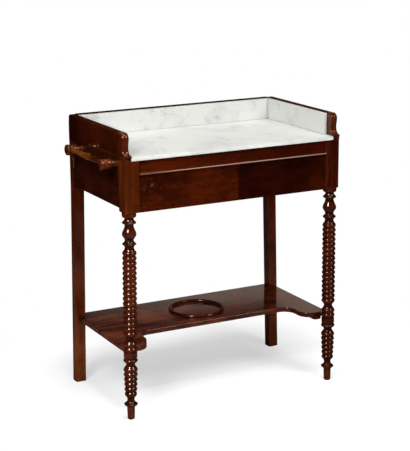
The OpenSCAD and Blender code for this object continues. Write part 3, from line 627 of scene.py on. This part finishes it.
mesh = bmesh.new()
outline = mesh.faces.new([mesh.verts.new((-lip["halfLength"], y, z)) for y, z in lipLine()])
drawOut(mesh, outline, (2 * lip["halfLength"], 0, 0))
for face in mesh.faces:
    face.smooth = abs(face.normal.x) < 0.5
creaseOver(mesh, 40)
keepPiece(mesh, "lipMoulding", "carcase", ["lip_moulding"], "lip")
for part in ("back", "left", "right"):
    easedCopy("marble_" + part + "_splash", part + "Splash", "splash",
        arrises["marble"], steps=3)
print("panels, rails and marble: done")


gallery = {
    "thick": 0.024, "waistBack": 0.014, "shoulderBack": 0.010, "shoulderRound": (0.019, 0.017),
    "shoulderFlat": 0.030, "toeOut": 0.003, "toeHigh": 0.006, "hollow": 0.022, "corner": 0.010,
    "arris": 0.0032, "toe": 0.0012, "wear": 0.5, "steps": 10,
    "swell": 0.019, "cuts": 5,        # the front is a flat arc across the thickness
}


# The end's side outline as (y, z, arris, swell), from the back up over the top and down to the toe
def galleryLine():
    g = gallery
    front, back, top = stand["front"], stand["back"], stand["galleryTop"]
    corner, hollow, arris, steps = g["corner"], g["hollow"], g["arris"], g["steps"]
    deep, high = g["shoulderRound"]
    toe = front - g["toeOut"]
    toeFoot = stand["slabTop"] + stand["slack"]
    waistZ = stand["slabTop"] + g["toeHigh"] + hollow
    roundY, roundZ = front + g["shoulderBack"] + deep, top - high
    swing = (g["waistBack"] - g["shoulderBack"]) / 2
    middleY = front + (g["waistBack"] + g["shoulderBack"]) / 2
    quarter = [math.pi / 2 * i / steps for i in range(steps + 1)]
    line = [(back, stand["topZ"], 0.0, 0.0)]
    line += [(back - corner + corner * math.cos(a), top - corner + corner * math.sin(a),
        arris, 0.0) for a in quarter]
    line += [(roundY + g["shoulderFlat"], top, arris, 0.0)]
    line += [(roundY - deep * math.sin(a), roundZ + high * math.cos(a), arris, math.sin(a))
        for a in quarter]
    line += [(middleY - swing * math.cos(math.pi * i / steps),
        roundZ + (waistZ - roundZ) * i / steps, arris, 1.0) for i in range(1, steps)]
    line += [(toe + (g["waistBack"] + g["toeOut"]) * math.cos(a), waistZ - hollow * math.sin(a),
        g["toe"] + (arris - g["toe"]) * math.cos(a), math.cos(a)) for a in quarter]
    line += [(toe, toeFoot, 0.0, 0.0), (front, toeFoot, 0.0, 0.0),
        (front, stand["topZ"], 0.0, 0.0)]
    return line


def galleryEnd(side):
    mesh = bmesh.new()
    arris = mesh.verts.layers.float.new("arris")
    swell = mesh.verts.layers.float.new("swell")
    thick = gallery["thick"]
    inner, outer = stand["halfWidth"] - thick, stand["halfWidth"]
    corners = []
    for y, z, radius, share in galleryLine():
        corners.append(mesh.verts.new((inner, y, z)))
        corners[-1][arris], corners[-1][swell] = radius, share
    drawOut(mesh, mesh.faces.new(corners), (thick, 0, 0))
    across = [e for e in mesh.edges if abs(e.verts[0].co.x - e.verts[1].co.x) > thick / 2]
    bmesh.ops.subdivide_edges(mesh, edges=across, cuts=gallery["cuts"])
    mesh.normal_update()
    for vert in mesh.verts:
        inward = Vector((0, -vert.normal.y, -vert.normal.z)).normalized()
        fall = (vert.co.x - (inner + outer) / 2) ** 2 / (2 * gallery["swell"])
        vert.co += inward * (fall * vert[swell])
    weight = mesh.edges.layers.float.new("bevel_weight_edge")
    wear = wearLayer(mesh)
    for edge in mesh.edges:  # only the edges round the two faces are rounded
        a, b = edge.verts
        toFace = min(abs(a.co.x - inner), abs(a.co.x - outer))
        if abs(a.co.x - b.co.x) < tiny and toFace < tiny:
            edge[weight] = min(a[arris], b[arris]) / gallery["arris"]
    if side == "left":
        bmesh.ops.scale(mesh, vec=(-1, 1, 1), verts=mesh.verts)
        bmesh.ops.recalc_face_normals(mesh, faces=mesh.faces)
    for face in mesh.faces:
        face.smooth = True
        for corner in face.loops:
            corner[wear] = 0.0 if abs(face.normal.x) > 0.5 else gallery["wear"]
    creaseOver(mesh, 60)
    for name in ("arris", "swell"):
        mesh.verts.layers.float.remove(mesh.verts.layers.float[name])
    piece = keepPiece(mesh, side + "Gallery", "carcase", ["gallery_" + side], "gallery")
    bevel = piece.modifiers.new("rounding", "BEVEL")
    bevel.width = gallery["arris"]
    bevel.segments = 4
    bevel.limit_method = "WEIGHT"
    bevel.use_clamp_overlap = False
    bevel.harden_normals = True


galleryEnd("left")
galleryEnd("right")
easedCopy("gallery_back", "backGallery", "galleryBack", arrises["gallery"], steps=4)
print("gallery: done")


shelf = {
    "low": 0.226, "high": 0.243, "inset": 0.003, "front": -0.060, "earFront": -0.170,
    "earRadius": 0.048, "hollowRadius": 0.040, "leftReach": 0.110, "rightReach": 0.094,
    "notch": 0.3721,      # where the cut for the back leg begins
    "legBack": 0.0117,    # how far behind the turned leg's axis the end starts
    "arris": 0.0025, "wear": 0.8,
}


def arc(x, y, radius, start, end, steps=14):
    angles = [math.radians(start + (end - start) * i / steps) for i in range(steps + 1)]
    return [(x + radius * math.cos(a), y + radius * math.sin(a)) for a in angles]


def shelfEnd(reach):  # from the straight front round the ear to the middle of the back edge
    s = shelf
    end, ear = s["earRadius"], stand["halfWidth"] - reach
    side, hollow = stand["halfWidth"] - s["inset"], s["hollowRadius"]
    legY, cutY = stand["legY"] + s["legBack"], backLeg["front"] - stand["slack"]
    line = arc(ear - hollow, s["front"] - hollow, hollow, 90, 0)
    line += arc(ear + end, s["earFront"] + end, end, 180, 270)
    line += [(stand["legX"], s["earFront"]), (stand["legX"], legY), (side, legY), (side, cutY),
        (s["notch"], cutY), (s["notch"], stand["back"])]
    return line


mesh = bmesh.new()
leftEnd = [(-x, y) for x, y in reversed(shelfEnd(shelf["leftReach"]))]
outline = [(x, y, shelf["low"]) for x, y in shelfEnd(shelf["rightReach"]) + leftEnd]
drawOut(mesh, mesh.faces.new([mesh.verts.new(point) for point in outline]),
    (0, 0, shelf["high"] - shelf["low"]))
for face in mesh.faces:
    face.smooth = abs(face.normal.z) < 0.5
creaseOver(mesh, 30)
easeEdges(mesh, [e for e in mesh.edges if rise(e) < tiny], shelf["arris"], 4, shelf["wear"])
keepPiece(mesh, "jugShelf", "carcase", ["undershelf"], "shelf")
for side in ("left", "right"):
    easedCopy(side + "_ear_block", side + "EarBlock", "shelf", arrises["ear"],
        steps=3)


ring = {"outer": 0.099, "wide": 0.0125, "high": 0.010, "y": 0.066, "steps": 128}

mesh = bmesh.new()
half = ring["wide"] / 2
crown = arc(ring["outer"] - half, ring["high"] - half, half, 0, 180, 12)
feet = [(ring["outer"], 0.0), (ring["outer"] - ring["wide"], 0.0)]
turn(mesh, feet[:1] + crown + feet[::-1], ring["steps"])
bmesh.ops.translate(mesh, vec=(0, ring["y"], shelf["high"]), verts=mesh.verts)
keepPiece(mesh, "jugRing", "carcase", ["jug_ring"], "ring")
print("shelf: done")


# Places in metres, turned sizes in millimetres
towel = {
    "z": 0.855, "face": 0.398, "front": -0.162, "back": 0.118, "barX": 0.4357,
    "crests": (0.007, 0.019), "armSteps": 48, "barSteps": 40,
    "barrel": 16.5, "button": 18.3, "barEnd": 7.5, "barMiddle": 10.5, "bead": 12.5,
}


def armLine():
    r, button = towel["barrel"], towel["button"]
    return turnedLine([(0, 0, "line"), (r * 0.66, 0, "line"), (r * 0.68, 5.6, "line"),
        (r * 0.60, 7.0, "bulge"), (r * 0.44, 8.2, "cove"), (r * 0.44, 9.0, "line"),
        (r * 0.70, 14.8, "bulge"), (r * 0.44, 20.0, "bulge"), (r * 0.46, 20.6, "line"),
        (r * 0.8, 21.6, "line"), (r, 23.6, "bulge"), (r, 45.6, "line"), (r * 0.86, 47.6, "bulge"),
        (r * 0.84, 48.4, "line"), (button, 49.8, "bulge"), (button, 55.4, "line"),
        (button - 2.4, 58.0, "bulge"), (0, 58.0, "line")])


def layDown(mesh, axis, place):
    bmesh.ops.rotate(mesh, cent=(0, 0, 0), verts=mesh.verts,
        matrix=Matrix.Rotation(-math.pi / 2, 3, axis))
    bmesh.ops.translate(mesh, vec=place, verts=mesh.verts)


for side in ("front", "back"):
    mesh = bmesh.new()
    turn(mesh, armLine(), towel["armSteps"])
    wearByRadius(mesh, *towel["crests"])
    layDown(mesh, "Y", (-towel["face"], towel[side], towel["z"]))
    keepPiece(mesh, side + "TowelArm", "carcase", ["towel_" + side + "_arm"], "arms")


def barLine():
    middle, end = towel["barMiddle"], towel["barEnd"]
    # Half the way between the arms, less half a barrel, because the ends sit in sockets
    reach = (towel["back"] - towel["front"]) * 500 - towel["barrel"] * 0.5
    bead = towel["bead"] * 0.6              # half the length of the bead in its middle
    step = (towel["bead"] - middle) * 0.3   # how far the bead's foot stands out
    return turnedLine([(0, -reach, "line"), (end, -reach, "line"),
        (middle, -bead - 3 * step, "line"), (middle + step, -bead, "cove"),
        (towel["bead"], 0, "bulge"), (middle + step, bead, "bulge"),
        (middle, bead + 3 * step, "cove"), (end, reach, "line"), (0, reach, "line")])


mesh = bmesh.new()
turn(mesh, barLine(), towel["barSteps"])
layDown(mesh, "X", (-towel["barX"], (towel["front"] + towel["back"]) / 2, towel["z"]))
keepPiece(mesh, "towelBar", "carcase", ["towel_bar"], "rail")
print("towel rail: done")


# Nodes that keep the CAD's own shape
kept = {
    "pineX": ["back_panel", "front_bearer", "corner_blocks"],
    "pineY": ["left_runner", "right_runner", "left_guide", "right_guide", "left_kicker",
        "right_kicker", "slab_bearer", "drawer_stops", "gallery_dowels", "shelf_dowels"],
    "liningX": ["drawer_back", "drawer_bottom"],
    "liningY": ["drawer_left_side", "drawer_right_side"],
}
for finish, nodes in kept.items():
    for node in nodes:
        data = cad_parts[node].data
        data.materials.clear()
        data.materials.append(finishes[finish])
print("kept nodes: done")


studio = {
    "floorRadius": 14.0,
    "paper": 1.35, "fade": 1.1,         # how far the white paper reaches, and how fast it ends
    "pool": (-0.13, 0.08, 0.0),         # moves the middle of the shadow to the origin
    "whiteFrom": 0.45, "whiteTo": 1.0,  # how far from there the floor turns plain white
    "shadowShare": 0.44, "boost": 1.04,     # how much of the floor's own shade the camera sees
    "bounce": 188,                      # the paper's grey for the light that it gives back
    "floorLamp": "high",                # this lamp lights only the paper, and casts its shadow
    "paperInPolish": 0.12,              # how bright the floor is in the polish
    "warm": (1.0, 0.72, 0.6, 1.0),      # the backdrop's colour in the polish
    "ambient": 0.10, "dark": 0.003,     # the soft light all round, and the room in the polish
    # The backdrop in the polish, with all angles in degrees: its brightness where it is lit and
    # above, the heights and the azimuths between which it comes up, its top edge as a height at
    # an azimuth and a slope, how soft that edge is, and the step in it
    "backdrop": 0.60, "dim": 0.02, "skirt": (11.5, 14.0),
    "leftEnd": (19.5, 29.0, 0.07, 1.0), "rightEnd": (75.0, 50.0),
    "edge": (17.95, 23.0, -0.10), "soft": 0.15, "step": (30.0, 32.5, 0.0, 1.2),
    "glint": (1.0, 0.74, 0.62),         # the lamps' colour in the polish
    "aim": (0.0, 0.0, 0.6),
    # Azimuth, height angle, distance, width, height, power, whether it gives light and whether
    # it shows in the polish. A lamp that only shows stands a little apart from the one that
    # gives the light, because two in one plane hide each other.
    "lamps": {
        "left": (-51.6, 36.2, 3.0, 0.8, 1.0, 57, True, False),
        "right": (24.0, 40, 3.0, 1.1, 1.0, 34, True, False),
        "over": (0, 80, 2.6, 1.6, 2.0, 22, True, False),
        "high": (-8.0, 76, 3.0, 1.3, 1.3, 140, True, False),
        "leftGlint": (-51.6, 36.2, 2.9, 0.72, 0.88, 84, False, True),
        "rightGlint": (38.0, 40, 6.0, 1.6, 1.4, 90, False, True),
        "overGlint": (0, 80, 2.5, 1.6, 2.0, 14, False, True),
    },
}


def makeFloor():
    s = studio
    mesh = bmesh.new()
    bmesh.ops.create_circle(mesh, cap_ends=True, radius=s["floorRadius"], segments=64)
    data = bpy.data.meshes.new("floor")
    mesh.to_mesh(data)
    mesh.free()
    floor = bpy.data.objects.new("floor", data)
    bpy.context.scene.collection.objects.link(floor)
    f = Finish(bpy.data.materials.new("paperFloor"))
    camera = f.node("ShaderNodeLightPath", output="Is Camera Ray")
    glossy = camera.out("Is Glossy Ray")
    far = f.ramp(f.measure("LENGTH", f.place()), s["paper"], s["paper"] + s["fade"])
    pool = f.measure("LENGTH", f.stretch((1, 1, 1), s["pool"]))
    plainWhite = f.ramp(pool, s["whiteFrom"], s["whiteTo"])
    shade = f.mix(camera, paint([s["bounce"]] * 3), [s["boost"]] * 3 + [1.0])
    paper = f.node("ShaderNodeBsdfDiffuse", {}, {"Color": shade})
    white = f.node("ShaderNodeEmission", {}, {"Color": (1, 1, 1, 1), "Strength": 1.0})
    black = f.node("ShaderNodeEmission", {}, {"Color": (0, 0, 0, 1), "Strength": 0.0})
    toCamera = f.maths("MAXIMUM", plainWhite, 1 - s["shadowShare"]) * camera
    seen = f.node("ShaderNodeMixShader", {}, {0: toCamera, 1: paper, 2: white})
    gone = f.maths("MAXIMUM", far, 1 - s["paperInPolish"]) * glossy
    seen = f.node("ShaderNodeMixShader", {}, {0: gone, 1: seen, 2: black})
    f.plug(f.tree.nodes["Material Output"].inputs["Surface"], seen)
    data.materials.append(f.owner)
    return floor


# White for the camera, plain grey for soft light, and in the polish a dark room with a lit
# backdrop low behind the stand on the right
def makeWorld():
    s = studio
    world = bpy.data.worlds.new("studio")
    bpy.context.scene.world = world
    f = Finish(world)
    camera = f.node("ShaderNodeLightPath", output="Is Camera Ray")
    glossy, through = camera.out("Is Glossy Ray"), camera.out("Is Transmission Ray")
    way = f.node("ShaderNodeSeparateXYZ", {},
        {0: f.node("ShaderNodeTexCoord", output="Generated")}, output="X")
    azimuth = f.maths("ARCTAN2", way, way.out("Y")) * math.degrees(1)
    height = f.maths("ARCSINE", way.out("Z")) * math.degrees(1)
    top, middle, slope = s["edge"]
    over = height - (azimuth - middle) * slope - f.ramp(azimuth, *s["step"])
    lit = f.ramp(over, top + s["soft"], top - s["soft"], s["dim"], s["backdrop"])
    lit = lit * f.ramp(azimuth, *s["leftEnd"]) * f.ramp(azimuth, *s["rightEnd"])
    lit = lit * f.ramp(height, *s["skirt"])
    shown = camera + through + glossy * (s["dark"] + lit)
    rest = f.maths("SUBTRACT", 1.0, camera + through + glossy, clamp=True)
    colour = f.mix(glossy, (1, 1, 1, 1), s["warm"])
    f.shine(Color=colour, Strength=shown + rest * s["ambient"])


def wayTo(azimuth, height):  # from the stand, with azimuth 0 in front of it and minus at the left
    a, h = math.radians(azimuth), math.radians(height)
    return Vector((math.sin(a) * math.cos(h), -math.cos(a) * math.cos(h), math.sin(h)))


def makeLamps(floor):
    paperOnly = bpy.data.collections.new("paperOnly")
    paperOnly.objects.link(floor)
    for name, settings in studio["lamps"].items():
        azimuth, height, distance, wide, high, power, lights, shows = settings
        way = wayTo(azimuth, height)
        data = bpy.data.lights.new(name + "Lamp", "AREA")
        data.shape = "RECTANGLE"
        data.size, data.size_y = wide, high
        data.energy = power
        lamp = bpy.data.objects.new(name + "Lamp", data)
        lamp.location = Vector(studio["aim"]) + way * distance
        lamp.rotation_mode = "QUATERNION"
        lamp.rotation_quaternion = (-way).to_track_quat("-Z", "Y")
        lamp.visible_diffuse, lamp.visible_glossy = lights, shows
        if name == studio["floorLamp"]:
            lamp.light_linking.receiver_collection = paperOnly
        if not lights:
            data.color = studio["glint"]
        bpy.context.scene.collection.objects.link(lamp)


view = {
    "target": (0.02399, 0.0015, 0.56527), "distance": 4.74009,
    "azimuth": -27.5995, "elevation": 14.1083, "roll": -0.4242,
    "lens": 109.32, "sensor": 36.0, "farthest": 60.0,
}


def makeCamera():
    back = wayTo(view["azimuth"], view["elevation"])
    roll = Quaternion((0, 0, 1), math.radians(view["roll"]))
    data = bpy.data.cameras.new("camera")
    data.sensor_width = view["sensor"]
    data.lens = view["lens"]
    data.clip_end = view["farthest"]
    camera = bpy.data.objects.new("camera", data)
    camera.location = Vector(view["target"]) + back * view["distance"]
    camera.rotation_mode = "QUATERNION"
    camera.rotation_quaternion = (-back).to_track_quat("-Z", "Y") @ roll
    bpy.context.scene.collection.objects.link(camera)
    bpy.context.scene.camera = camera


floor = makeFloor()
makeWorld()
makeLamps(floor)
makeCamera()
bpy.context.scene.view_settings.view_transform = "Standard"
print("studio: done")
